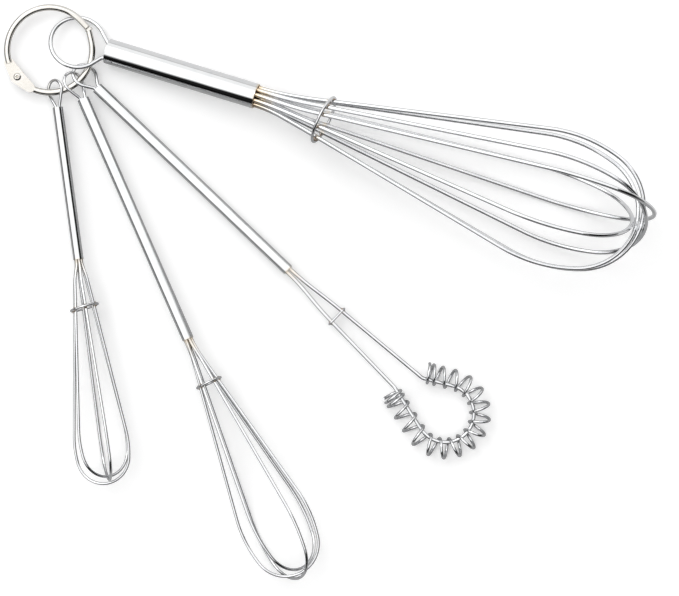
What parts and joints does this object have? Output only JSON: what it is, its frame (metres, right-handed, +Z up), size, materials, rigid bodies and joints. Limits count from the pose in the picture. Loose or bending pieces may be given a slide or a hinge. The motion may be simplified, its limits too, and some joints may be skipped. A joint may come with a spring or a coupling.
{
  "type": "whisk set on a ring",
  "caption": "Set of polished wire whisks with tube handles, balloon heads and a spring-coil head, linked by their hanging eyes on an openable ring.",
  "frame": {"origin": "on the table, under the middle of the whole set's box", "axes": "+X along the fan's length, from the ring towards the large whisk's tip; +Y away from the person; +Z up from the table"},
  "size_m": [0.2116, 0.189, 0.0445],
  "materials": {
    "ring_nickel": "polished nickel plate",
    "handle_steel": "polished",
    "wire_steel": "polished drawn wire",
    "spring_steel": "polished drawn wire",
    "collar_steel": "polished, heat tinted at the welds"
  },
  "bodies": {
    "ring": {"ring_half_fixed": "ring_nickel", "ring_rivet": "ring_nickel"},
    "ring_gate": {"ring_half_opening": "ring_nickel"},
    "large_whisk": {"large_collar": "collar_steel", "large_handle_tube": "handle_steel", "large_hanging_eye": "wire_steel", "large_wire_loop_1": "wire_steel", "large_wire_loop_2": "wire_steel", "large_wire_loop_3": "wire_steel", "large_wire_loop_4": "wire_steel", "large_wire_loop_5": "wire_steel"},
    "medium_whisk": {"medium_collar": "collar_steel", "medium_handle_tube": "handle_steel", "medium_hanging_eye": "wire_steel", "medium_wire_loop_1": "wire_steel", "medium_wire_loop_2": "wire_steel", "medium_wire_loop_3": "wire_steel"},
    "mini_whisk": {"mini_collar": "collar_steel", "mini_handle_tube": "handle_steel", "mini_hanging_eye": "wire_steel", "mini_wire_loop_1": "wire_steel", "mini_wire_loop_2": "wire_steel", "mini_wire_loop_3": "wire_steel"},
    "coil_whisk": {"coil_collar": "collar_steel", "coil_handle_tube": "handle_steel", "coil_hanging_eye": "wire_steel", "coil_head_wire": "wire_steel", "coil_spring": "spring_steel"}
  },
  "joints": [
    {"name": "ring_gate_hinge", "type": "hinge", "parent": "ring", "child": "ring_gate", "pos_m": [-0.10123, 0.07049, 0.004], "axis": [0, 0, 1], "range_deg": [0, 80]},
    {"name": "large_whisk_swing", "type": "hinge", "parent": "ring", "child": "large_whisk", "pos_m": [-0.09072, 0.07943, 0.004], "axis": [0, 0, 1], "range_deg": [-12, 15]},
    {"name": "coil_whisk_swing", "type": "hinge", "parent": "ring", "child": "coil_whisk", "pos_m": [-0.09072, 0.07943, 0.004], "axis": [0, 0, 1], "range_deg": [-3, 8]},
    {"name": "medium_whisk_swing", "type": "hinge", "parent": "ring", "child": "medium_whisk", "pos_m": [-0.09072, 0.07943, 0.004], "axis": [0, 0, 1], "range_deg": [-3, 3]},
    {"name": "mini_whisk_swing", "type": "hinge", "parent": "ring", "child": "mini_whisk", "pos_m": [-0.09072, 0.07943, 0.004], "axis": [0, 0, 1], "range_deg": [-25, 3]}
  ]
}
